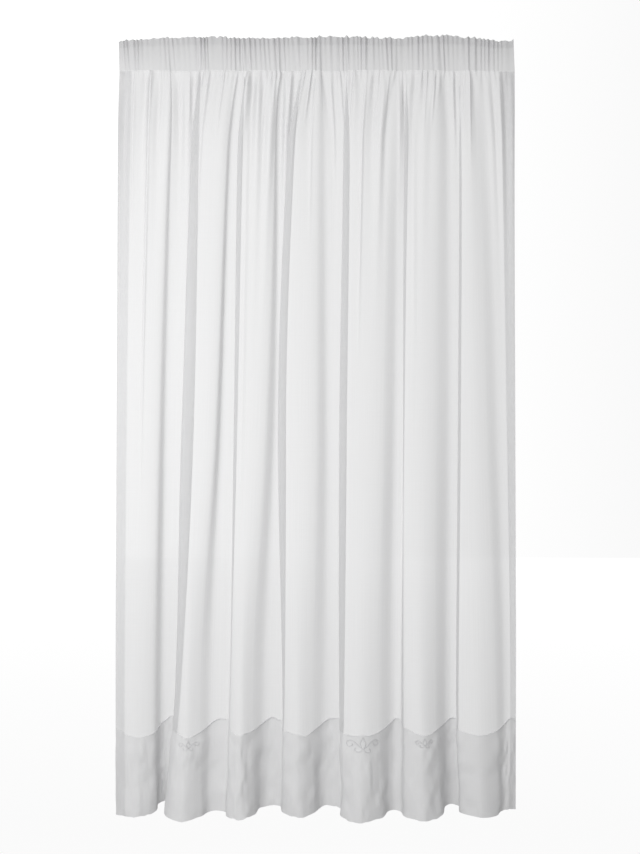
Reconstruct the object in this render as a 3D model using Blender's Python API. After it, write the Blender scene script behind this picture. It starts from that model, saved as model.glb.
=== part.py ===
"""Sheer voile curtain, hanging from its gathered heading, in metres with +Z up.

The origin is at the middle of the top edge, which is what holds the curtain up. +X runs to the
right along the heading, and -Y is the room side, where the front folds stand out.
"""
import math
from collections import namedtuple

import bmesh
import bpy

# Driving dimensions.
DROP = 2.440
HEADING_HEIGHT = 0.106
BORDER_HEIGHT = 0.272
HEADING_HALF_WIDTH = 0.623
SEAM_GAP = 0.0004

# The cloth.
VOILE_THICKNESS = 0.0012
BORDER_THICKNESS = 0.0016
HEADING_THICKNESS = 0.0020
SIDE_HEM_COLUMNS = 2

# The gathers of the heading.
GATHERS = 78
GATHER_DEPTH = 0.0060
COLUMNS_PER_GATHER = 4
LOOSE_GATHER_DEPTH = 0.0035

# The scalloped join of voile and border has one scallop on each front fold. The foot rises a
# little for how far back it hangs.
SCALLOP_RISE = 0.016
FOOT_RISE = 0.15

# How finely the folds are made.
STEPS_PER_TURN = 3

# Heights at which the folds are laid out, as depths below the top edge: just under the heading,
# where the small gathers have run out, at half height, above the border, and at the foot.
LEVELS = (0.106, 0.350, 1.240, 2.050, 2.440)
PANEL_ROWS = (0.106, 0.190, 0.350, 0.720, 1.240, 1.700, 2.020)
BORDER_ROWS = 3

# One row for each side of a fold, from left to right. "out" steps forward to a front fold, "in"
# steps back behind it. Each place is the middle of that side, and each lap is how far the cloth
# doubles back on itself there; below zero, the side slants open instead.
FoldSide = namedtuple("FoldSide", "turn places laps")
FOLD_SIDES = (
    FoldSide("in", (-0.458, -0.463, -0.485, -0.500, -0.504), (-0.003, -0.012, -0.022, -0.024, -0.002)),
    FoldSide("out", (-0.364, -0.378, -0.404, -0.435, -0.474), (0.002, 0.022, 0.034, 0.012, 0.004)),
    FoldSide("in", (-0.246, -0.273, -0.308, -0.349, -0.351), (-0.006, -0.012, -0.018, -0.036, -0.022)),
    FoldSide("out", (-0.228, -0.238, -0.253, -0.270, -0.281), (-0.003, 0.014, 0.008, -0.004, -0.006)),
    FoldSide("in", (-0.113, -0.121, -0.145, -0.182, -0.184), (-0.003, -0.012, -0.030, -0.040, -0.018)),
    FoldSide("out", (-0.044, -0.078, -0.107, -0.102, -0.110), (0.002, 0.022, 0.024, 0.004, -0.008)),
    FoldSide("in", (0.016, 0.017, 0.018, 0.007, 0.003), (-0.003, -0.028, -0.038, -0.046, -0.018)),
    FoldSide("out", (0.097, 0.096, 0.085, 0.081, 0.080), (-0.003, 0.020, 0.024, 0.016, -0.002)),
    FoldSide("in", (0.252, 0.242, 0.228, 0.215, 0.215), (-0.010, -0.030, -0.042, -0.045, -0.022)),
    FoldSide("out", (0.283, 0.281, 0.276, 0.272, 0.275), (-0.004, 0.012, 0.004, -0.008, -0.012)),
    FoldSide("in", (0.402, 0.399, 0.396, 0.392, 0.402), (-0.012, -0.034, -0.050, -0.044, -0.016)),
    FoldSide("out", (0.455, 0.455, 0.451, 0.446, 0.456), (-0.006, 0.008, 0.012, 0.010, 0.000)),
    FoldSide("in", (0.508, 0.525, 0.552, 0.577, 0.581), (-0.020, -0.034, -0.041, -0.036, -0.016)),
)
LEFT_EDGE = (-0.618, -0.621, -0.626, -0.628, -0.628)
RIGHT_EDGE = (0.625, 0.625, 0.628, 0.631, 0.631)

# One row for each face between two sides, from left to right, with how far back it hangs.
Face = namedtuple("Face", "name backs")
FACES = (
    Face("front_1", (-0.002, -0.009, -0.017, -0.022, -0.018)),
    Face("back_1", (0.004, 0.012, 0.024, 0.044, 0.078)),
    Face("front_2", (-0.004, -0.012, -0.022, -0.034, -0.044)),
    Face("back_2", (0.003, 0.010, 0.016, 0.020, 0.020)),
    Face("front_3", (-0.002, -0.010, -0.019, -0.026, -0.030)),
    Face("back_3", (0.004, 0.012, 0.022, 0.036, 0.054)),
    Face("front_4", (-0.003, -0.010, -0.018, -0.022, -0.020)),
    Face("back_4", (0.004, 0.012, 0.023, 0.036, 0.050)),
    Face("front_5", (-0.004, -0.012, -0.024, -0.038, -0.052)),
    Face("back_5", (0.003, 0.010, 0.016, 0.022, 0.028)),
    Face("front_6", (-0.003, -0.012, -0.021, -0.030, -0.038)),
    Face("back_6", (0.004, 0.012, 0.022, 0.038, 0.062)),
    Face("front_7", (-0.003, -0.010, -0.018, -0.022, -0.020)),
    Face("back_7", (0.002, 0.006, 0.010, 0.018, 0.026)),
)

# How far towards the next face each fold's turn already lies, at each level: the larger, the
# rounder the front folds. The back ones turn this share of that.
ROUNDING = (0.20, 0.16, 0.16, 0.26, 0.36)
BACK_ROUNDING = 0.4

# How far the middle of a front face stands out, as a share of its width, at each level.
BULGE = (0.06, 0.08, 0.08, 0.11, 0.15)

# How the top edge rises and dips along its length.
TopPoint = namedtuple("TopPoint", "along rise")
TOP_LINE = (
    TopPoint(0.00, -0.015),
    TopPoint(0.06, -0.006),
    TopPoint(0.23, 0.001),
    TopPoint(0.31, -0.003),
    TopPoint(0.57, 0.001),
    TopPoint(0.71, -0.004),
    TopPoint(0.79, 0.006),
    TopPoint(0.90, -0.003),
    TopPoint(0.96, -0.013),
    TopPoint(1.00, -0.010),
)


def remove_everything():
    """Empties the scene before the curtain is made."""
    for old in list(bpy.data.objects):
        bpy.data.objects.remove(old, do_unlink=True)


def cloth_material(name, colour, roughness):
    """A plain cloth finish for one piece."""
    material = bpy.data.materials.new(name)
    material.use_nodes = True
    shader = material.node_tree.nodes["Principled BSDF"]
    shader.inputs["Base Color"].default_value = (*colour, 1.0)
    shader.inputs["Roughness"].default_value = roughness
    shader.inputs["Metallic"].default_value = 0.0
    return material


def read_between(stops, values, where):
    """The value at a place between rising stops, on a curve with no overshoot."""
    if where <= stops[0]:
        return values[0]
    for index in range(1, len(stops)):
        if where <= stops[index]:
            part = (where - stops[index - 1]) / (stops[index] - stops[index - 1])
            eased = 0.5 * part + 0.5 * part * part * (3.0 - 2.0 * part)
            return values[index - 1] + eased * (values[index] - values[index - 1])
    return values[-1]


def fold_turns(depth):
    """The turning points of the cloth in plan at one depth, from the left edge to the right."""
    backs = [read_between(LEVELS, face.backs, depth) for face in FACES]
    rounding = read_between(LEVELS, ROUNDING, depth)
    turns = [(read_between(LEVELS, LEFT_EDGE, depth), 0.4 * backs[0])]
    for index, side in enumerate(FOLD_SIDES):
        place = read_between(LEVELS, side.places, depth)
        half_lap = 0.5 * read_between(LEVELS, side.laps, depth)
        # The cloth runs past the middle of the side before it turns, and comes back past it.
        step = rounding * (backs[index + 1] - backs[index])
        before, after = (1.0, BACK_ROUNDING) if side.turn == "in" else (BACK_ROUNDING, 1.0)
        turns.append((place + half_lap, backs[index] + before * step))
        turns.append((place - half_lap, backs[index + 1] - after * step))
    turns.append((read_between(LEVELS, RIGHT_EDGE, depth), 0.8 * backs[-1]))
    return turns


def with_bulges(turns, depth):
    """Adds the middle of each face, at the face's full depth, and further out on a front one."""
    points = [turns[0]]
    for index in range(1, len(turns)):
        before = turns[index - 1]
        after = turns[index]
        if index % 2 == 1:
            back = read_between(LEVELS, FACES[index // 2].backs, depth)
            if FACES[index // 2].name.startswith("front"):
                bulge = read_between(LEVELS, BULGE, depth)
                back -= bulge * min(0.05, abs(after[0] - before[0]))
            points.append((0.5 * (before[0] + after[0]), back))
        points.append(after)
    return points


def curve_through(points, steps):
    """A smooth centripetal curve in plan through the points, with even steps between them."""
    first = (2 * points[0][0] - points[1][0], 2 * points[0][1] - points[1][1])
    last = (2 * points[-1][0] - points[-2][0], 2 * points[-1][1] - points[-2][1])
    held = [first, *points, last]
    curve = []
    for index in range(1, len(held) - 2):
        four = held[index - 1 : index + 3]
        spans = [max(math.dist(four[n], four[n + 1]) ** 0.5, 1e-4) for n in range(3)]
        slopes = []
        for n in (1, 2):
            before = spans[n - 1]
            after = spans[n]
            slope = [
                (four[n][axis] - four[n - 1][axis]) / before
                - (four[n + 1][axis] - four[n - 1][axis]) / (before + after)
                + (four[n + 1][axis] - four[n][axis]) / after
                for axis in (0, 1)
            ]
            slopes.append([spans[1] * value for value in slope])
        for step in range(steps):
            t = step / steps
            weights = (
                2 * t**3 - 3 * t**2 + 1,
                t**3 - 2 * t**2 + t,
                -2 * t**3 + 3 * t**2,
                t**3 - t**2,
            )
            curve.append(
                tuple(
                    weights[0] * four[1][axis]
                    + weights[1] * slopes[0][axis]
                    + weights[2] * four[2][axis]
                    + weights[3] * slopes[1][axis]
                    for axis in (0, 1)
                )
            )
    curve.append(points[-1])
    return curve


def cloth_section(depth):
    """The cloth in plan at one depth; near the heading it still carries loose gathers."""
    section = curve_through(with_bulges(fold_turns(depth), depth), STEPS_PER_TURN)
    fading = max(0.0, 1.0 - (depth - HEADING_HEIGHT) / 0.20)
    gathered = []
    for index, (x, y) in enumerate(section):
        swing = (-1) ** index * LOOSE_GATHER_DEPTH * fading
        gathered.append((x, y + swing))
    return gathered


def join_depth(along):
    """How far below the top edge the border's scalloped upper edge lies.

    Its points stand up at the middle of each back face, and it hangs lowest right of the middle of
    each front one. There are 3 turning points from one face's middle to the next one's.
    """
    turn = along * (3 * len(FACES) - 1)
    wave = math.cos(2.0 * math.pi * ((turn + 2.0) / 6.0 % 1.0) ** 1.2)
    return DROP - BORDER_HEIGHT - SCALLOP_RISE * wave


def height_at(depth, back):
    """The height of a point that far down the cloth and that far back."""
    low = max(0.0, (depth - 1.6) / (DROP - 1.6))
    return FOOT_RISE * low * low * back - depth


def gathered_point(along):
    """The heading in plan: even steps along X, swinging back and forth in uneven gathers."""
    wander = 0.35 * math.sin(19.0 * along + 1.0) + 0.25 * math.sin(47.0 * along)
    angle = 2.0 * math.pi * (GATHERS * along + wander)
    strength = 1.0 + 0.25 * math.sin(61.0 * along) + 0.20 * math.sin(133.0 * along + 2.0)
    # The last few centimetres at each side are a flat hem.
    flat = min(1.0, along / 0.02, (1.0 - along) / 0.03)
    x = HEADING_HALF_WIDTH * (2.0 * along - 1.0)
    return x, GATHER_DEPTH * strength * flat * math.sin(angle)


def new_grid(name, columns, rows, place):
    """A flat grid, with each of its corners moved to place(along, down), both from 0 to 1."""
    mesh_maker = bmesh.new()
    bmesh.ops.create_grid(mesh_maker, x_segments=columns, y_segments=rows, size=0.5)
    for corner in mesh_maker.verts:
        corner.co = place(corner.co.x + 0.5, 0.5 - corner.co.y)
    mesh = bpy.data.meshes.new(name)
    mesh_maker.to_mesh(mesh)
    mesh_maker.free()
    sheet = bpy.data.objects.new(name, mesh)
    bpy.context.scene.collection.objects.link(sheet)
    return sheet


def thicken(sheet, thickness, columns):
    """Gives the sheet its thickness, doubled at the two side hems."""
    weights = sheet.vertex_groups.new(name="thickness")
    across = columns + 1
    for corner in sheet.data.vertices:
        column = corner.index % across
        hemmed = min(column, columns - column) <= SIDE_HEM_COLUMNS
        weights.add([corner.index], 1.0 if hemmed else 0.5, "REPLACE")
    solidify = sheet.modifiers.new("Thickness", "SOLIDIFY")
    solidify.thickness = 2.0 * thickness
    solidify.offset = 0.0
    solidify.vertex_group = "thickness"


def make_heading_band():
    """The gathered strip along the top."""
    columns = GATHERS * COLUMNS_PER_GATHER
    alongs = [point.along for point in TOP_LINE]
    rises = [point.rise for point in TOP_LINE]

    def place(along, down):
        x, y = gathered_point(along)
        top = read_between(alongs, rises, along)
        return x, y, top - down * (HEADING_HEIGHT + top)

    band = new_grid("heading_band", columns, 1, place)
    solidify = band.modifiers.new("Thickness", "SOLIDIFY")
    solidify.thickness = HEADING_THICKNESS
    solidify.offset = 0.0
    band.data.materials.append(cloth_material("heading_voile", (0.78, 0.78, 0.79), 0.85))
    return band


def make_folded_sheet(name, depths_at, rows, thickness, material):
    """A sheet on the curtain's folds; depths_at(along) lists its depths, one for each row."""
    columns = len(cloth_section(DROP)) - 1
    sections = {}

    def place(along, down):
        column = round(along * columns)
        row = round(down * rows)
        depth = depths_at(along)[row]
        if depth not in sections:
            sections[depth] = cloth_section(depth)
        x, y = sections[depth][column]
        return x, y, height_at(depth, y)

    sheet = new_grid(name, columns, rows, place)
    thicken(sheet, thickness, columns)
    sheet.data.materials.append(material)
    return sheet


def make_voile_panel():
    """The main drop, from under the heading to the border's scalloped edge."""

    def depths_at(along):
        depths = list(PANEL_ROWS)
        depths[0] += SEAM_GAP
        return [*depths, join_depth(along) - 0.5 * SEAM_GAP]

    voile = cloth_material("voile", (0.90, 0.90, 0.91), 0.80)
    return make_folded_sheet("voile_panel", depths_at, len(PANEL_ROWS), VOILE_THICKNESS, voile)


def make_border_band():
    """The denser cloth along the foot."""

    def depths_at(along):
        top = join_depth(along) + 0.5 * SEAM_GAP
        return [top + (DROP - top) * row / BORDER_ROWS for row in range(BORDER_ROWS + 1)]

    cloth = cloth_material("border_cloth", (0.80, 0.80, 0.81), 0.85)
    return make_folded_sheet("border_band", depths_at, BORDER_ROWS, BORDER_THICKNESS, cloth)


remove_everything()
make_heading_band()
make_voile_panel()
make_border_band()
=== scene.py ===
"""The looks of a sheer voile curtain: cloth on its folds, gathered heading, corded border.

Everything is in metres in the curtain's own frame: +Z up, +X along the heading, -Y the room side,
with the origin at the middle of the top edge.
"""
import math
from collections import namedtuple

import bmesh
import bpy
import numpy as np
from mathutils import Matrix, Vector


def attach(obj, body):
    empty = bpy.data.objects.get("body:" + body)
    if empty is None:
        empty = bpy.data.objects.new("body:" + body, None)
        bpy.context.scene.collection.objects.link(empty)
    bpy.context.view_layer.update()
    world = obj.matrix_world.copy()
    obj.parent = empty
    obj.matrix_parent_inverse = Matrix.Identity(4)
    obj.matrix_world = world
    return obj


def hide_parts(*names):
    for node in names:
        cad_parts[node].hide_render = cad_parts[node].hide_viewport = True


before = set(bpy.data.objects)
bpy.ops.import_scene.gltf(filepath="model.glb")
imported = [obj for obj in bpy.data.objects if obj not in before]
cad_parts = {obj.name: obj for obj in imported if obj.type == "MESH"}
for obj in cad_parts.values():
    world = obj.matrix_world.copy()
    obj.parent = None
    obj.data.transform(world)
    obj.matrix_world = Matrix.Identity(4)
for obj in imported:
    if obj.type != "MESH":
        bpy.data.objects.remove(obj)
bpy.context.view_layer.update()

# The curtain's sizes.
DROP = 2.440
HEADING_HEIGHT = 0.106
BORDER_HEIGHT = 0.272
HEADING_HALF_WIDTH = 0.623
SEAM_GAP = 0.0004
FLAT_WIDTH = 2.20
LEFT_HEM = 0.034
RIGHT_HEM = 0.026
HEM_SPACING = 0.0010

# How finely the cloths are made. The panel's rows crowd together under the heading by ROW_CROWDING,
# from 0 for even rows to 1.
COLUMNS = 1236
HEM_COLUMNS = 9
PANEL_ROWS = 76
ROW_CROWDING = 0.65
BORDER_ROWS = 36
HEADING_ROWS = 20
COLUMNS_PER_GATHER = 14
STEPS_PER_TURN = 16
DEPTH_STEPS = 320
SHARPEST_FOLD = math.radians(80.0)

# The gathers. The heading's own are this share of their depth at its seam, and grow by the top
# share towards its top. Below the seam they fade within SEAM_FADE, and the ones that run out are
# calmer towards the right.
GATHERS = 78
GATHER_DEPTH = 0.0060
SEAM_PULL = 0.32
TOP_PULL = 0.60
SEAM_FADE = 0.012
CALMER_RIGHT = 0.55

# The heading's top: turned over behind by this share of its height, in this many rows, and ragged
# with tufts on the share of its height above TUFTS_FROM.
TURNED_ROWS = 4
TURNED_SHARE = 0.22
TURNED_BACK = 0.0022
TUFTS_FROM = 0.85
TUFT_LIFT = 0.0010
TUFT_UNEVENNESS = 0.0034

# The scalloped join of voile and border. The lean moves the low point of a scallop to the right.
SCALLOP_RISE = 0.016
SCALLOP_LEAN = 1.2
CORD_RADIUS = 0.0012
STITCH_RADIUS = 0.0011
WEAVE_PITCH = 0.0011
WAVE_NODE_TURN = 20.0

# The view.
VIEW_DISTANCE = 3.50
VIEW_HEIGHT = -1.2246
VIEW_ASIDE = 0.0126
VIEW_LENS = 31.3
VIEW_FILM = 24.0
FLOOR_BELOW_FOOT = 0.020
FLOOR_SIZE = 14.0
FLOOR_WHITE = 0.96
WALL_WHITE = 1.06

# Depths below the top edge at which the folds are laid out: under the heading, where the small
# gathers have run out, at half height, above the border, and at the foot.
LEVELS = (0.106, 0.350, 1.240, 2.050, 2.440)

# One row for each side of a fold, from left to right. "out" steps forward to a front fold, "in"
# steps back behind it. Each place is the middle of that side, and each lap is how far the cloth
# doubles back on itself there; below zero, the side slants open instead.
FoldSide = namedtuple("FoldSide", "turn places laps")
FOLD_SIDES = (
    FoldSide("in", (-0.458, -0.463, -0.485, -0.500, -0.504), (-0.003, -0.012, -0.022, -0.024, -0.002)),
    FoldSide("out", (-0.364, -0.378, -0.404, -0.435, -0.474), (0.002, 0.022, 0.034, 0.012, 0.004)),
    FoldSide("in", (-0.246, -0.273, -0.308, -0.349, -0.351), (-0.006, -0.012, -0.018, -0.036, -0.022)),
    FoldSide("out", (-0.228, -0.238, -0.253, -0.270, -0.281), (-0.003, 0.014, 0.008, -0.004, -0.006)),
    FoldSide("in", (-0.113, -0.121, -0.145, -0.182, -0.184), (-0.003, -0.012, -0.030, -0.040, -0.018)),
    FoldSide("out", (-0.044, -0.078, -0.107, -0.102, -0.110), (0.002, 0.022, 0.024, 0.004, -0.008)),
    FoldSide("in", (0.016, 0.017, 0.018, 0.007, 0.003), (-0.003, -0.028, -0.038, -0.046, -0.018)),
    FoldSide("out", (0.097, 0.096, 0.085, 0.081, 0.080), (-0.003, 0.020, 0.024, 0.016, -0.002)),
    FoldSide("in", (0.252, 0.242, 0.228, 0.215, 0.215), (-0.010, -0.030, -0.042, -0.045, -0.022)),
    FoldSide("out", (0.283, 0.281, 0.276, 0.272, 0.275), (-0.004, 0.012, 0.004, -0.008, -0.012)),
    FoldSide("in", (0.402, 0.399, 0.396, 0.392, 0.402), (-0.012, -0.034, -0.050, -0.044, -0.016)),
    FoldSide("out", (0.455, 0.455, 0.451, 0.446, 0.456), (-0.006, 0.008, 0.012, 0.010, 0.000)),
    FoldSide("in", (0.508, 0.525, 0.552, 0.577, 0.581), (-0.020, -0.034, -0.041, -0.036, -0.016)),
)
LEFT_EDGE = (-0.618, -0.621, -0.626, -0.628, -0.628)
RIGHT_EDGE = (0.625, 0.625, 0.628, 0.631, 0.631)

# One row for each face between two sides, from left to right, with how far back it hangs.
Face = namedtuple("Face", "name backs")
FACES = (
    Face("front_1", (-0.002, -0.009, -0.017, -0.022, -0.018)),
    Face("back_1", (0.004, 0.012, 0.024, 0.044, 0.078)),
    Face("front_2", (-0.004, -0.012, -0.022, -0.034, -0.044)),
    Face("back_2", (0.003, 0.010, 0.016, 0.020, 0.020)),
    Face("front_3", (-0.002, -0.010, -0.019, -0.026, -0.030)),
    Face("back_3", (0.004, 0.012, 0.022, 0.036, 0.054)),
    Face("front_4", (-0.003, -0.010, -0.018, -0.022, -0.020)),
    Face("back_4", (0.004, 0.012, 0.023, 0.036, 0.050)),
    Face("front_5", (-0.004, -0.012, -0.024, -0.038, -0.052)),
    Face("back_5", (0.003, 0.010, 0.016, 0.022, 0.028)),
    Face("front_6", (-0.003, -0.012, -0.021, -0.030, -0.038)),
    Face("back_6", (0.004, 0.012, 0.022, 0.038, 0.062)),
    Face("front_7", (-0.003, -0.010, -0.018, -0.022, -0.020)),
    Face("back_7", (0.002, 0.006, 0.010, 0.018, 0.026)),
)
FACE_NAMES = [face.name for face in FACES]

# How far towards the next face each fold's turn already lies, at each level: the larger, the
# rounder the front folds. The back ones turn this share of that.
ROUNDING = (0.20, 0.16, 0.16, 0.26, 0.36)
BACK_ROUNDING = 0.4

# How far the middle of a front face stands out, as a share of its width, at each level.
BULGE = (0.06, 0.08, 0.08, 0.11, 0.15)

# How much the foot rises for how far back it hangs, and the depth below which it starts to.
FOOT_RISE = 0.15
FOOT_RISES_FROM = 1.6

# How much the foot's edge wanders up and down along its length.
HEM_WANDER = 0.0024

# How the top edge rises and dips along its length.
TopPoint = namedtuple("TopPoint", "along rise")
TOP_LINE = (
    TopPoint(0.00, -0.015),
    TopPoint(0.06, -0.006),
    TopPoint(0.23, 0.001),
    TopPoint(0.31, -0.003),
    TopPoint(0.57, 0.001),
    TopPoint(0.71, -0.004),
    TopPoint(0.79, 0.006),
    TopPoint(0.90, -0.003),
    TopPoint(0.96, -0.013),
    TopPoint(1.00, -0.010),
)

# Soft creases within the faces. across runs from 0 to 1 over the face; a crease starts and ends at
# these depths below the top edge, stands this deep and is this wide.
Crease = namedtuple("Crease", "face across start end deep wide")
CREASES = (
    Crease("front_1", 0.32, 0.11, 0.75, 0.0037, 0.0062),
    Crease("front_1", 0.62, 0.10, 1.60, 0.0055, 0.0066),
    Crease("front_1", 0.80, 0.11, 0.38, 0.0042, 0.0062),
    Crease("back_1", 0.34, 0.10, 0.36, 0.0037, 0.0059),
    Crease("back_1", 0.62, 0.10, 0.30, 0.0042, 0.0062),
    Crease("front_2", 0.30, 0.10, 0.80, 0.0032, 0.0066),
    Crease("front_2", 0.66, 0.10, 0.34, 0.0039, 0.0057),
    Crease("front_3", 0.30, 0.28, 1.70, 0.0039, 0.0093),
    Crease("front_3", 0.62, 0.10, 0.42, 0.0032, 0.0062),
    Crease("front_3", 0.84, 0.10, 0.26, 0.0047, 0.0059),
    Crease("back_3", 0.50, 0.10, 0.30, 0.0042, 0.0062),
    Crease("front_4", 0.24, 0.10, 0.52, 0.0047, 0.0068),
    Crease("front_4", 0.52, 0.10, 0.30, 0.0037, 0.0057),
    Crease("front_4", 0.78, 0.12, 0.70, 0.0032, 0.0062),
    Crease("back_4", 0.36, 0.11, 0.52, 0.0042, 0.0068),
    Crease("back_4", 0.70, 0.10, 0.34, 0.0037, 0.0057),
    Crease("front_5", 0.20, 0.10, 0.36, 0.0042, 0.0057),
    Crease("front_5", 0.42, 0.10, 1.10, 0.0049, 0.0066),
    Crease("front_5", 0.66, 0.10, 0.44, 0.0039, 0.0062),
    Crease("front_5", 0.86, 0.10, 0.32, 0.0022, 0.0057),
    Crease("back_5", 0.50, 0.10, 0.30, 0.0039, 0.0062),
    Crease("front_6", 0.34, 0.18, 1.20, 0.0032, 0.0117),
    Crease("front_6", 0.56, 0.10, 0.36, 0.0040, 0.0062),
    Crease("front_6", 0.78, 0.10, 0.30, 0.0037, 0.0057),
    Crease("back_6", 0.50, 0.10, 0.42, 0.0026, 0.0066),
    Crease("front_7", 0.26, 0.10, 0.36, 0.0026, 0.0066),
    Crease("front_7", 0.58, 0.10, 0.46, 0.0026, 0.0068),
    Crease("back_7", 0.40, 0.10, 0.60, 0.0032, 0.0079),
)

# How the small gathers run out below the heading: this many waves across, at most this deep, and
# strongest this far under the heading.
RunOut = namedtuple("RunOut", "waves deep below seed")
RUN_OUTS = (
    RunOut(78, 0.0016, 0.010, 41),
    RunOut(50, 0.0027, 0.024, 11),
    RunOut(36, 0.0040, 0.055, 16),
    RunOut(24, 0.0060, 0.130, 21),
)

# How the denser border puckers: waves across and down, and how deep.
Pucker = namedtuple("Pucker", "across down deep seed")
PUCKERS = (
    Pucker(30, 34, 0.0028, 51),
    Pucker(80, 70, 0.0022, 53),
)


# Shape of the hanging cloth.
def read_between(stops, values, where):
    """Values at places between rising stops, on a smooth curve with no overshoot."""
    stops = np.asarray(stops, float)
    values = np.asarray(values, float)
    rises = np.diff(values) / np.diff(stops)
    slopes = np.empty(len(values))
    slopes[0] = rises[0]
    slopes[-1] = rises[-1]
    same_way = rises[:-1] * rises[1:] > 0
    safe = np.where(same_way, rises[:-1] + rises[1:], 1.0)
    slopes[1:-1] = np.where(same_way, 2.0 * rises[:-1] * rises[1:] / safe, 0.0)
    where = np.clip(np.asarray(where, float), stops[0], stops[-1])
    index = np.clip(np.searchsorted(stops, where, side="right") - 1, 0, len(stops) - 2)
    span = stops[index + 1] - stops[index]
    t = (where - stops[index]) / span
    return (
        (2 * t**3 - 3 * t**2 + 1) * values[index]
        + (t**3 - 2 * t**2 + t) * span * slopes[index]
        + (3 * t**2 - 2 * t**3) * values[index + 1]
        + (t**3 - t**2) * span * slopes[index + 1]
    )


def fold_turns(depths):
    """The turning points of the cloth in plan at each depth, from the left edge to the right."""
    backs = [read_between(LEVELS, face.backs, depths) for face in FACES]
    turns = [(read_between(LEVELS, LEFT_EDGE, depths), 0.4 * backs[0])]
    rounding = read_between(LEVELS, ROUNDING, depths)
    for index, side in enumerate(FOLD_SIDES):
        place = read_between(LEVELS, side.places, depths)
        half_lap = 0.5 * read_between(LEVELS, side.laps, depths)
        step = rounding * (backs[index + 1] - backs[index])
        before, after = (1.0, BACK_ROUNDING) if side.turn == "in" else (BACK_ROUNDING, 1.0)
        turns.append((place + half_lap, backs[index] + before * step))
        turns.append((place - half_lap, backs[index + 1] - after * step))
    turns.append((read_between(LEVELS, RIGHT_EDGE, depths), 0.8 * backs[-1]))
    return turns


def with_bulges(turns, depths):
    """Adds the middle of each face, at the face's full depth, and further out on a front one."""
    points = [turns[0]]
    for index in range(1, len(turns)):
        before = turns[index - 1]
        after = turns[index]
        if index % 2 == 1:
            back = read_between(LEVELS, FACES[index // 2].backs, depths)
            if FACES[index // 2].name.startswith("front"):
                bulge = read_between(LEVELS, BULGE, depths)
                back = back - bulge * np.minimum(0.05, np.abs(after[0] - before[0]))
            points.append((0.5 * (before[0] + after[0]), back))
        points.append(after)
    return points


def curves_through(points, steps):
    """Smooth centripetal curves in plan; points is depths by points by 2."""
    first = 2 * points[:, :1] - points[:, 1:2]
    last = 2 * points[:, -1:] - points[:, -2:-1]
    held = np.concatenate([first, points, last], axis=1)
    spans = np.maximum(np.linalg.norm(np.diff(held, axis=1), axis=2) ** 0.5, 1e-4)[..., None]
    rises = np.diff(held, axis=1)
    slopes = (
        rises[:, :-1] / spans[:, :-1]
        - (rises[:, :-1] + rises[:, 1:]) / (spans[:, :-1] + spans[:, 1:])
        + rises[:, 1:] / spans[:, 1:]
    )
    start, end = points[:, :-1], points[:, 1:]
    middle = spans[:, 1:-1]
    out = middle * slopes[:, :-1]
    into = middle * slopes[:, 1:]
    pieces = []
    for step in range(steps):
        t = step / steps
        pieces.append(
            (2 * t**3 - 3 * t**2 + 1) * start
            + (t**3 - 2 * t**2 + t) * out
            + (3 * t**2 - 2 * t**3) * end
            + (t**3 - t**2) * into
        )
    curve = np.stack(pieces, axis=2).reshape(len(points), -1, 2)
    return np.concatenate([curve, points[:, -1:]], axis=1)


def uneven_each_way(along, depth, across, down, seed):
    """Smooth unevenness from -1 to 1 over the cloth, with swings across and down it."""
    heights = np.random.default_rng(seed).uniform(-1.0, 1.0, (across + 2, down + 2))
    place = np.clip(along, 0.0, 1.0) * across
    fall = np.clip(depth / (DROP + 0.01), 0.0, 1.0) * down
    column = np.floor(place).astype(int)
    row = np.floor(fall).astype(int)
    c = place - column
    r = fall - row
    c = c * c * (3.0 - 2.0 * c)
    r = r * r * (3.0 - 2.0 * r)
    upper = heights[column, row] * (1.0 - c) + heights[column + 1, row] * c
    lower = heights[column, row + 1] * (1.0 - c) + heights[column + 1, row + 1] * c
    return upper * (1.0 - r) + lower * r


def uneven(along, count, seed):
    """Smooth unevenness from -1 to 1 along the cloth, with count swings of no fixed rule."""
    heights = np.random.default_rng(seed).uniform(-1.0, 1.0, count + 2)
    place = np.clip(along, 0.0, 1.0) * count
    index = np.floor(place).astype(int)
    part = place - index
    eased = part * part * (3.0 - 2.0 * part)
    return heights[index] * (1.0 - eased) + heights[index + 1] * eased


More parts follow.
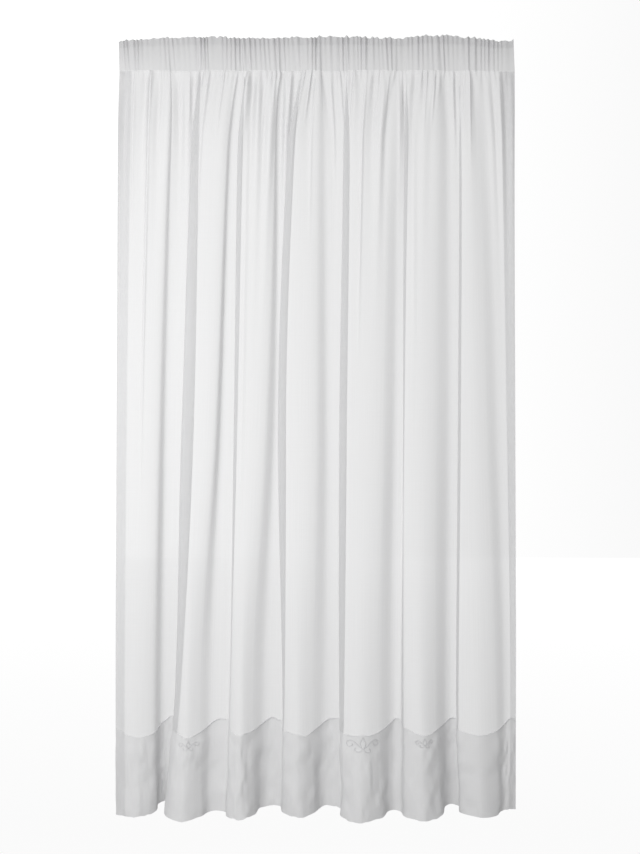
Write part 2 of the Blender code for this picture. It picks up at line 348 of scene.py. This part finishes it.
class Drape:
    """Where each place on the flat cloth hangs. along runs 0 to 1 across, depth down in metres."""

    def __init__(self):
        depths = np.linspace(HEADING_HEIGHT, DROP, DEPTH_STEPS)
        turns = with_bulges(fold_turns(depths), depths)
        points = np.stack([np.stack(pair, axis=-1) for pair in turns], axis=1)
        self.sections = curves_through(points, STEPS_PER_TURN)
        self.turn_places = np.arange(self.sections.shape[1]) / STEPS_PER_TURN
        middle = self.sections[DEPTH_STEPS // 2]
        lengths = np.linalg.norm(np.diff(middle, axis=0), axis=1)
        by_length = np.concatenate([[0.0], np.cumsum(lengths)])
        self.width = by_length[-1]
        top = self.sections[0, :, 0]
        by_top = (top - top[0]) / (top[-1] - top[0])
        # Even steps share themselves between what the heading and what the folds need.
        self.alongs = 0.5 * by_length / self.width + 0.5 * by_top
        self.top_shares = by_top
        self.by_length = by_length

    def hem_share(self, hem, side):
        """How far in from a side edge a hem of that width reaches, as a share of the cloth."""
        if side == "left":
            return float(np.interp(hem, self.by_length, self.alongs))
        return 1.0 - float(np.interp(self.width - hem, self.by_length, self.alongs))

    def along_of(self, face, across):
        """The place along the cloth that lies at this share across a named face."""
        turn = 3 * FACE_NAMES.index(face) + 2 * across
        return float(np.interp(turn, self.turn_places, self.alongs))

    def local_width(self, along, depth):
        """How much cloth, in metres, one whole share of along would be, near a place."""
        ends = self.plan(np.array([along - 0.004, along + 0.004]), np.array([depth, depth]))
        return float(np.linalg.norm(ends[1] - ends[0])) / 0.008

    def plan(self, along, depth):
        """The plain folds in plan, without gathers and creases."""
        column = np.interp(along, self.alongs, np.arange(len(self.alongs)))
        row = (np.clip(depth, HEADING_HEIGHT, DROP) - HEADING_HEIGHT) / (DROP - HEADING_HEIGHT)
        row = row * (DEPTH_STEPS - 1)
        c0 = np.clip(np.floor(column).astype(int), 0, len(self.alongs) - 2)
        r0 = np.clip(np.floor(row).astype(int), 0, DEPTH_STEPS - 2)
        c = (column - c0)[..., None]
        r = (row - r0)[..., None]
        upper = self.sections[r0, c0] * (1 - c) + self.sections[r0, c0 + 1] * c
        lower = self.sections[r0 + 1, c0] * (1 - c) + self.sections[r0 + 1, c0 + 1] * c
        return upper * (1 - r) + lower * r

    def swing(self, along, depth):
        """How far gathers, creases and puckers push the cloth back from its plain folds."""
        top = np.interp(along, self.alongs, self.top_shares)
        below = np.maximum(depth - HEADING_HEIGHT, 0.0)
        push = gather_swing(top) * SEAM_PULL * gather_strength(top) * np.exp(-below / SEAM_FADE)
        calmer = 1.0 - CALMER_RIGHT * top**2
        for run in RUN_OUTS:
            rise = below / run.below
            strength = run.deep * calmer * rise * np.exp(1.0 - rise)
            strength = strength * np.clip(0.75 + 1.1 * uneven(top, run.waves // 2, run.seed), 0.0, 2.0)
            phase = 2.0 * math.pi * (run.waves * top + 0.5 * uneven(top, run.waves // 2, run.seed + 1))
            push = push + strength * np.sin(phase)
        for crease in CREASES:
            middle = self.along_of(crease.face, crease.across)
            reach = crease.wide / FLAT_WIDTH
            fade = np.clip((crease.end - depth) / (0.6 * (crease.end - crease.start)), 0.0, 1.0)
            begin = np.clip((depth - crease.start + 0.02) / 0.04, 0.0, 1.0)
            ridge = np.exp(-(((along - middle) / reach) ** 2))
            push = push - crease.deep * ridge * fade * fade * (3.0 - 2.0 * fade) * begin
        sewn = np.clip((depth - self.join_depth(along)) / 0.03, 0.0, 1.0)
        for pucker in PUCKERS:
            swell = uneven_each_way(along, depth, pucker.across, pucker.down, pucker.seed)
            push = push + pucker.deep * sewn * swell
        return push

    def join_depth(self, along):
        """How far below the top edge the border's scalloped upper edge lies.

        Its points stand up at the middle of each back face, it hangs lowest right of the middle of
        each front one, and it strays a little from both.
        """
        wave = np.cos(2.0 * math.pi * self.scallop_share(along) ** SCALLOP_LEAN)
        stray = 0.005 * uneven(along, 60, 75) + 0.005 * uneven(along, 14, 76)
        return DROP - BORDER_HEIGHT - SCALLOP_RISE * wave + stray

    def scallop_share(self, along):
        """How far along its scallop a place lies; a scallop takes 6 turning points."""
        turn = np.interp(along, self.alongs, self.turn_places)
        return (turn + 2.0) / 6.0 % 1.0

    def points(self, along, depth, lift=0.0):
        """The cloth's points; lift moves them off the cloth towards the room."""
        along = np.asarray(along, float)
        depth = np.asarray(depth, float)
        step = 0.5 / COLUMNS
        here = self.plan(along, depth)
        run = self.plan(np.minimum(along + step, 1.0), depth) - self.plan(
            np.maximum(along - step, 0.0), depth
        )
        run = run / np.maximum(np.linalg.norm(run, axis=-1, keepdims=True), 1e-9)
        out = np.stack([run[..., 1], -run[..., 0]], axis=-1)
        push = self.swing(along, depth)
        moved = here + out * (lift - push)[..., None]
        low = np.clip((depth - FOOT_RISES_FROM) / (DROP - FOOT_RISES_FROM), 0.0, 1.0)
        wander = HEM_WANDER * (uneven(along, 46, 61) + 0.6 * uneven(along, 120, 62))
        height = FOOT_RISE * low * low * here[..., 1] - depth + wander * low**8
        return np.concatenate([moved, height[..., None]], axis=-1)


def gather_strength(top):
    """How strongly the heading is gathered at a share of its length; some parts lie nearly flat."""
    return np.clip(0.42 + 0.6 * uneven(top, 44, 5) + 0.4 * uneven(top, 90, 6), 0.14, 1.1)


def gather_swing(top):
    """How far the heading's gathers push the cloth back, at a share of the heading's length."""
    wander = 0.45 * uneven(top, 34, 3) + 0.22 * uneven(top, 70, 4)
    flat = np.clip(np.minimum(top / 0.02, (1.0 - top) / 0.03), 0.0, 1.0)
    return GATHER_DEPTH * flat * np.sin(2.0 * math.pi * (GATHERS * top + wander))


def top_rise(share):
    """How the top edge rises and dips."""
    alongs = [point.along for point in TOP_LINE]
    rises = [point.rise for point in TOP_LINE]
    return read_between(alongs, rises, share)


# Making pieces.
def link(name, mesh):
    """A new object in the scene for a mesh."""
    piece = bpy.data.objects.new(name, mesh)
    bpy.context.scene.collection.objects.link(piece)
    return piece


def cloth_grid(name, columns, rows, place):
    """A grid whose corners are moved to place(across, down), which gives points and flat places."""
    maker = bmesh.new()
    bmesh.ops.create_grid(maker, x_segments=columns, y_segments=rows, size=0.5)
    across = np.array([corner.co.x + 0.5 for corner in maker.verts])
    down = np.array([0.5 - corner.co.y for corner in maker.verts])
    points, flat = place(across, down)
    for corner, point in zip(maker.verts, points):
        corner.co = point
    flat_map = maker.loops.layers.uv.new("flat")
    maker.verts.index_update()
    for face in maker.faces:
        face.smooth = True
        for loop in face.loops:
            loop[flat_map].uv = flat[loop.vert.index]
    # Cloth that is turned over and pressed has a sharp edge.
    maker.normal_update()
    for edge in maker.edges:
        if edge.calc_face_angle(0.0) > SHARPEST_FOLD:
            edge.smooth = False
    mesh = bpy.data.meshes.new(name)
    maker.to_mesh(mesh)
    maker.free()
    return link(name, mesh)


def hemmed(across, columns, drape):
    """Shares along the cloth, with the side hems turned in behind, and how far each stands back."""
    turned = HEM_COLUMNS / columns
    left = drape.hem_share(LEFT_HEM, "left")
    right = drape.hem_share(RIGHT_HEM, "right")
    along = (across - turned) / (1.0 - 2.0 * turned)
    in_left = across < turned
    in_right = across > 1.0 - turned
    left_part = 1.0 - across / turned
    right_part = 1.0 - (1.0 - across) / turned
    along = np.where(in_left, left * left_part, along)
    along = np.where(in_right, 1.0 - right * right_part, along)
    # The hem is pressed flat, a little behind the cloth.
    behind = np.where(in_left, np.clip(3.0 * left_part, 0.0, 1.0), 0.0)
    behind = np.where(in_right, np.clip(3.0 * right_part, 0.0, 1.0), behind)
    return np.clip(along, 0.0, 1.0), -HEM_SPACING * behind


def make_voile_panel(drape):
    """The main drop, from under the heading to the border's scalloped edge."""
    columns = COLUMNS + 2 * HEM_COLUMNS

    def place(across, down):
        along, lift = hemmed(across, columns, drape)
        top = HEADING_HEIGHT + 0.5 * SEAM_GAP
        spread = (1.0 - ROW_CROWDING) * down + ROW_CROWDING * down * down
        depth = top + (drape.join_depth(along) - 0.5 * SEAM_GAP - top) * spread
        points = drape.points(along, depth, lift)
        flat = np.stack([along * FLAT_WIDTH, depth], axis=-1)
        return points, flat

    return cloth_grid("voile_cloth", columns, PANEL_ROWS, place)


def make_border(drape):
    """The denser cloth along the foot."""
    columns = COLUMNS + 2 * HEM_COLUMNS

    def place(across, down):
        along, lift = hemmed(across, columns, drape)
        top = drape.join_depth(along) + 0.5 * SEAM_GAP
        depth = top + (DROP - top) * down
        points = drape.points(along, depth, lift)
        flat = np.stack([along * FLAT_WIDTH, depth], axis=-1)
        return points, flat

    return cloth_grid("border_cloth", columns, BORDER_ROWS, place)


def heading_points(share, height, drape, lift):
    """Points of the heading; height runs from 0 at its lower edge to 1 at its top.

    lift moves them off the cloth towards the room.
    """
    lower = drape.sections[0]
    shares = drape.top_shares
    bottom_x = np.interp(share, shares, lower[:, 0])
    bottom_y = np.interp(share, shares, lower[:, 1])
    top_x = HEADING_HALF_WIDTH * (2.0 * share - 1.0)
    x = bottom_x + (top_x - bottom_x) * height
    pull = gather_strength(share) * (SEAM_PULL + TOP_PULL * height) + 0.12 * height**4
    y = bottom_y * (1.0 - height) + gather_swing(share) * pull
    sway = 0.004 * uneven(share, 40, 31) * height
    z = -HEADING_HEIGHT + (HEADING_HEIGHT + top_rise(share)) * height
    near_top = np.clip((height - TUFTS_FROM) / (1.0 - TUFTS_FROM), 0.0, 1.0)
    tuft = TUFT_LIFT + TUFT_UNEVENNESS * uneven(share, 2 * GATHERS, 8)
    return np.stack([x + sway, y - lift, z + tuft * near_top], axis=-1)


def make_heading(drape):
    """The gathered front of the heading, with its top turned over behind."""
    turned = TURNED_ROWS / HEADING_ROWS

    def place(across, down):
        behind = down < turned
        below_fold = np.where(behind, 1.0 - down / turned, 0.0)
        height = np.where(behind, 1.0 - TURNED_SHARE * below_fold, (1.0 - down) / (1.0 - turned))
        lift = -TURNED_BACK * np.clip(2.0 * below_fold, 0.0, 1.0)
        points = heading_points(across, height, drape, lift)
        flat = np.stack([across * FLAT_WIDTH, (1.0 - height) * HEADING_HEIGHT], axis=-1)
        return points, flat

    columns = GATHERS * COLUMNS_PER_GATHER
    return cloth_grid("heading_gathers", columns, HEADING_ROWS, place)


# Finishes.
Gathered = namedtuple("Gathered", "more start end")


def math_node(tree, operation, first, second):
    """One step of arithmetic on two numbers or sockets."""
    node = tree.nodes.new("ShaderNodeMath")
    node.operation = operation
    for socket, value in zip(node.inputs, (first, second)):
        if isinstance(value, bpy.types.NodeSocket):
            tree.links.new(value, socket)
        else:
            socket.default_value = value
    return node.outputs[0]


def slubs(tree, place, across, down, seed):
    """Thicker and thinner stretches of thread, about this many a metre across and down."""
    mapping = tree.nodes.new("ShaderNodeMapping")
    mapping.inputs["Scale"].default_value = (across, down, 1.0)
    mapping.inputs["Location"].default_value = (seed, seed, 0.0)
    tree.links.new(place, mapping.inputs["Vector"])
    noise = tree.nodes.new("ShaderNodeTexNoise")
    noise.noise_dimensions = "2D"
    noise.inputs["Scale"].default_value = 1.0
    noise.inputs["Detail"].default_value = 2.0
    tree.links.new(mapping.outputs[0], noise.inputs["Vector"])
    return math_node(tree, "SUBTRACT", noise.outputs["Fac"], 0.5)


def threads(tree, place, axis):
    """Fine waves along one axis of the flat cloth, one for each thread."""
    wave = tree.nodes.new("ShaderNodeTexWave")
    wave.bands_direction = axis
    wave.inputs["Scale"].default_value = 2.0 * math.pi / (WAVE_NODE_TURN * WEAVE_PITCH)
    wave.inputs["Distortion"].default_value = 0.0
    tree.links.new(place, wave.inputs["Vector"])
    return wave.outputs["Fac"]


def stopped_share(tree, place, density, gathered, streaks):
    """The share of light that the threads stop: more in their slubs and where they are gathered."""
    warp = slubs(tree, place, 420.0, 3.0, 0.0)
    weft = math_node(tree, "MULTIPLY", slubs(tree, place, 5.0, 380.0, 3.0), 0.4)
    uneven_threads = math_node(tree, "MULTIPLY", math_node(tree, "ADD", warp, weft), streaks)
    depth = tree.nodes.new("ShaderNodeSeparateXYZ")
    tree.links.new(place, depth.inputs[0])
    drawn_in = tree.nodes.new("ShaderNodeMapRange")
    drawn_in.interpolation_type = "SMOOTHSTEP"
    drawn_in.inputs["From Min"].default_value = gathered.start
    drawn_in.inputs["From Max"].default_value = gathered.end
    drawn_in.inputs["To Min"].default_value = density + gathered.more
    drawn_in.inputs["To Max"].default_value = density
    tree.links.new(depth.outputs["Y"], drawn_in.inputs["Value"])
    return math_node(tree, "ADD", uneven_threads, drawn_in.outputs["Result"])


def passing_share(tree, stopped):
    """The share of light that gets between the threads, which close up when seen edge on."""
    facing = tree.nodes.new("ShaderNodeLayerWeight")
    facing.inputs["Blend"].default_value = 0.5
    square_on = math_node(tree, "SUBTRACT", 1.0, facing.outputs["Facing"])
    square_on = math_node(tree, "MAXIMUM", square_on, 0.10)
    open_share = math_node(tree, "SUBTRACT", 1.0, stopped)
    return math_node(tree, "POWER", open_share, math_node(tree, "DIVIDE", 1.0, square_on))


def matt_threads(tree, place, colour, glow):
    """The threads themselves: matt, with the weave's relief, and lit through from behind."""
    weave = math_node(tree, "ADD", threads(tree, place, "X"), threads(tree, place, "Y"))
    bump = tree.nodes.new("ShaderNodeBump")
    bump.inputs["Strength"].default_value = 0.15
    bump.inputs["Distance"].default_value = 0.0003
    tree.links.new(math_node(tree, "MULTIPLY", weave, 0.5), bump.inputs["Height"])
    front = tree.nodes.new("ShaderNodeBsdfDiffuse")
    front.inputs["Color"].default_value = (*colour, 1.0)
    tree.links.new(bump.outputs[0], front.inputs["Normal"])
    behind = tree.nodes.new("ShaderNodeBsdfTranslucent")
    behind.inputs["Color"].default_value = (*colour, 1.0)
    mix = tree.nodes.new("ShaderNodeMixShader")
    mix.inputs[0].default_value = glow
    tree.links.new(front.outputs[0], mix.inputs[1])
    tree.links.new(behind.outputs[0], mix.inputs[2])
    return mix.outputs[0]


def cloth_material(name, colour, density, gathered, glow, streaks):
    """Woven cloth that shows what is behind it between its threads.

    density is the share of light that its threads stop when seen square on. gathered is how much
    more they stop where the cloth is drawn together, and the depths over which that fades. glow
    is the share of it that they pass on from behind, and streaks is how uneven the threads are.
    """
    material = bpy.data.materials.new(name)
    material.use_nodes = True
    tree = material.node_tree
    tree.nodes.clear()
    flat_map = tree.nodes.new("ShaderNodeUVMap")
    flat_map.uv_map = "flat"
    place = flat_map.outputs[0]
    stopped = stopped_share(tree, place, density, gathered, streaks)
    clear = tree.nodes.new("ShaderNodeBsdfTransparent")
    cloth = tree.nodes.new("ShaderNodeMixShader")
    tree.links.new(passing_share(tree, stopped), cloth.inputs[0])
    tree.links.new(matt_threads(tree, place, colour, glow), cloth.inputs[1])
    tree.links.new(clear.outputs[0], cloth.inputs[2])
    output = tree.nodes.new("ShaderNodeOutputMaterial")
    tree.links.new(cloth.outputs[0], output.inputs["Surface"])
    return material


def thread_material(name, colour):
    """Twisted satin thread of the corded edge."""
    material = bpy.data.materials.new(name)
    material.use_nodes = True
    shader = material.node_tree.nodes["Principled BSDF"]
    shader.inputs["Base Color"].default_value = (*colour, 1.0)
    shader.inputs["Roughness"].default_value = 0.5
    return material


# Thread work.
def lay_cord(drape, name, along, depth, radius, swell=None):
    """A cord that lies on the cloth's front along a row of places, thicker where swell is more."""
    points = drape.points(along, depth, lift=np.full(len(along), radius))
    curve = bpy.data.curves.new(name, "CURVE")
    curve.dimensions = "3D"
    curve.bevel_depth = radius
    curve.bevel_resolution = 2
    curve.use_fill_caps = True
    spline = curve.splines.new("POLY")
    spline.points.add(len(points) - 1)
    swell = np.ones(len(points)) if swell is None else swell
    for knot, point, share in zip(spline.points, points, swell):
        knot.co = (*point, 1.0)
        knot.radius = share
    cord = bpy.data.objects.new(name, curve)
    bpy.context.scene.collection.objects.link(cord)
    return cord


def make_join_cord(drape):
    """The cord along the scalloped join, thickest just left of each point and worn in places."""
    along = np.linspace(0.0, 1.0, 900)
    scallop = drape.scallop_share(along)
    swell = 0.60 + 0.45 * np.cos(2.0 * math.pi * (scallop - 0.9)) + 0.35 * uneven(along, 60, 71)
    swell = np.clip(swell, 0.15, 1.3)
    return lay_cord(drape, "join_cord", along, drape.join_depth(along), CORD_RADIUS, swell)


# A small scroll in millimetres across and down from its middle: leaves on a stem between two
# curling branches, with two short tendrils below.
Stroke = namedtuple("Stroke", "name across down")
SCROLL = (
    Stroke("left_branch", (0, -6, -13, -20, -27, -31, -28, -22, -20), (13, 9, 2, -3, -3, 3, 8, 7, 3)),
    Stroke("right_branch", (0, 7, 14, 21, 27, 30, 26, 21, 20), (13, 8, 2, -2, -1, 4, 9, 7, 3)),
    Stroke("left_leaf", (0, -4, -5, -2, 0), (13, 7, 0, -6, -10)),
    Stroke("right_leaf", (0, 4, 5, 2, 0), (13, 7, 0, -6, -10)),
    Stroke("left_tendril", (-2, -8, -14, -17, -14), (15, 18, 17, 13, 11)),
    Stroke("right_tendril", (2, 7, 12, 14, 11), (15, 20, 20, 16, 13)),
)
MotifPlace = namedtuple("MotifPlace", "face across below size")
MOTIFS = (
    MotifPlace("front_2", 0.64, 0.018, 0.95),
    MotifPlace("front_5", 0.58, 0.022, 1.60),
    MotifPlace("front_6", 0.60, 0.018, 0.95),
)


def make_scroll(drape, index, motif):
    """One stitched scroll just under the join."""
    middle = drape.along_of(motif.face, motif.across)
    below = float(drape.join_depth(np.array([middle]))[0]) + motif.below
    width = drape.local_width(middle, below)
    strokes = []
    for stroke in SCROLL:
        knots = np.array([stroke.across, stroke.down], float).T[None] * 0.001 * motif.size
        line = curves_through(knots, 8)[0]
        name = "scroll_%d_%s" % (index, stroke.name)
        along = middle + line[:, 0] / width
        strokes.append(lay_cord(drape, name, along, below + line[:, 1], STITCH_RADIUS))
    return strokes


# Room.
def lit_and_seen(tree, lit, seen):
    """One shader for the light that reaches the curtain, and another for what the camera sees."""
    path = tree.nodes.new("ShaderNodeLightPath")
    mix = tree.nodes.new("ShaderNodeMixShader")
    tree.links.new(path.outputs["Is Camera Ray"], mix.inputs[0])
    tree.links.new(lit, mix.inputs[1])
    tree.links.new(seen, mix.inputs[2])
    return mix.outputs[0]


def floor_material():
    """A grey floor for light, which looks pale and runs into the wall's white further back."""
    material = bpy.data.materials.new("pale_floor")
    material.use_nodes = True
    tree = material.node_tree
    tree.nodes.clear()
    grey = tree.nodes.new("ShaderNodeBsdfDiffuse")
    grey.inputs["Color"].default_value = (0.50, 0.50, 0.50, 1.0)
    where = tree.nodes.new("ShaderNodeTexCoord")
    apart = tree.nodes.new("ShaderNodeSeparateXYZ")
    tree.links.new(where.outputs["Object"], apart.inputs[0])
    fade = tree.nodes.new("ShaderNodeMapRange")
    fade.inputs["From Min"].default_value = 0.0
    fade.inputs["From Max"].default_value = 0.5 * FLOOR_SIZE
    fade.inputs["To Min"].default_value = FLOOR_WHITE
    fade.inputs["To Max"].default_value = WALL_WHITE
    tree.links.new(apart.outputs["Y"], fade.inputs["Value"])
    pale = tree.nodes.new("ShaderNodeEmission")
    tree.links.new(fade.outputs["Result"], pale.inputs["Strength"])
    output = tree.nodes.new("ShaderNodeOutputMaterial")
    shader = lit_and_seen(tree, grey.outputs[0], pale.outputs[0])
    tree.links.new(shader, output.inputs["Surface"])
    return material


def make_floor():
    """A plain pale floor, a little below the foot."""
    maker = bmesh.new()
    bmesh.ops.create_grid(maker, x_segments=1, y_segments=1, size=0.5 * FLOOR_SIZE)
    for corner in maker.verts:
        corner.co.z = -DROP - FLOOR_BELOW_FOOT
    mesh = bpy.data.meshes.new("floor")
    maker.to_mesh(mesh)
    maker.free()
    mesh.materials.append(floor_material())
    link("floor", mesh)


def white_background(tree, where, direction, middle):
    """White that has this strength in the middle and grows towards a direction."""
    along = tree.nodes.new("ShaderNodeVectorMath")
    along.operation = "DOT_PRODUCT"
    along.inputs[1].default_value = direction
    tree.links.new(where, along.inputs[0])
    white = tree.nodes.new("ShaderNodeBackground")
    white.inputs["Color"].default_value = (1.0, 1.0, 1.0, 1.0)
    strength = math_node(tree, "ADD", along.outputs["Value"], middle)
    tree.links.new(strength, white.inputs["Strength"])
    return white.outputs[0]


def light_room():
    """Soft light from all round, a little more from the left and front, and one large lamp."""
    world = bpy.data.worlds.new("white_room")
    bpy.context.scene.world = world
    world.use_nodes = True
    tree = world.node_tree
    tree.nodes.clear()
    where = tree.nodes.new("ShaderNodeTexCoord").outputs["Generated"]
    lighting = white_background(tree, where, (-0.09, -0.04, 0.00), 0.545)
    seen = white_background(tree, where, (-0.40, 0.00, 0.00), WALL_WHITE)
    output = tree.nodes.new("ShaderNodeOutputWorld")
    tree.links.new(lit_and_seen(tree, lighting, seen), output.inputs["Surface"])
    add_lamp("front_lamp", (-1.15, -2.25, -1.0), 1.4, 34.5)


def add_lamp(name, place, size, power):
    """A large soft lamp aimed above the middle of the curtain."""
    lamp = bpy.data.lights.new(name, "AREA")
    lamp.shape = "SQUARE"
    lamp.size = size
    lamp.energy = power
    holder = bpy.data.objects.new(name, lamp)
    holder.location = place
    holder.visible_camera = False
    aim = Vector((0.0, 0.0, -0.9)) - holder.location
    holder.rotation_euler = aim.to_track_quat("-Z", "Y").to_euler()
    bpy.context.scene.collection.objects.link(holder)


def place_camera():
    """The camera looks square on at half height."""
    lens = bpy.data.cameras.new("view")
    lens.sensor_fit = "VERTICAL"
    lens.sensor_height = VIEW_FILM
    lens.lens = VIEW_LENS
    camera = bpy.data.objects.new("view", lens)
    camera.location = (VIEW_ASIDE, -VIEW_DISTANCE, VIEW_HEIGHT)
    camera.rotation_euler = (math.radians(90.0), 0.0, 0.0)
    bpy.context.scene.collection.objects.link(camera)
    bpy.context.scene.camera = camera


# The pieces, each with its finish.
def put_on(piece, node, finish):
    """Gives a cloth its finish and puts it in place of its plain solid."""
    piece.data.materials.append(finish)
    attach(piece, "root")
    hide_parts(node)


def add_voile_panel(drape):
    """The sheer main drop, denser where it is gathered under the heading."""
    under_heading = Gathered(0.10, HEADING_HEIGHT, 0.42)
    voile = cloth_material("voile", (0.87, 0.87, 0.875), 0.60, under_heading, 0.30, 0.05)
    panel = make_voile_panel(drape)
    put_on(panel, "voile_panel", voile)


def add_border(drape):
    """The denser foot, equally dense all the way down."""
    even = Gathered(0.0, 0.0, DROP)
    cloth = cloth_material("border_cloth", (0.83, 0.83, 0.835), 0.84, even, 0.17, 0.05)
    foot = make_border(drape)
    put_on(foot, "border_band", cloth)


def add_heading(drape):
    """The doubled heading, densest along its top."""
    towards_top = Gathered(0.17, 0.0, HEADING_HEIGHT)
    cloth = cloth_material("heading_voile", (0.82, 0.82, 0.825), 0.80, towards_top, 0.30, 0.02)
    top = make_heading(drape)
    put_on(top, "heading_band", cloth)


def add_thread_work(drape):
    """The join's cord and the scrolls under it."""
    thread = thread_material("satin_thread", (0.71, 0.71, 0.72))
    stitched = [make_join_cord(drape)]
    for index, motif in enumerate(MOTIFS, start=1):
        stitched.extend(make_scroll(drape, index, motif))
    for piece in stitched:
        piece.data.materials.append(thread)
        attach(piece, "root")


def dress():
    """Makes every piece of the curtain."""
    drape = Drape()
    add_voile_panel(drape)
    add_border(drape)
    add_heading(drape)
    add_thread_work(drape)


dress()
make_floor()
light_room()
place_camera()
bpy.context.scene.view_settings.view_transform = "Standard"
bpy.context.scene.cycles.transparent_max_bounces = 32
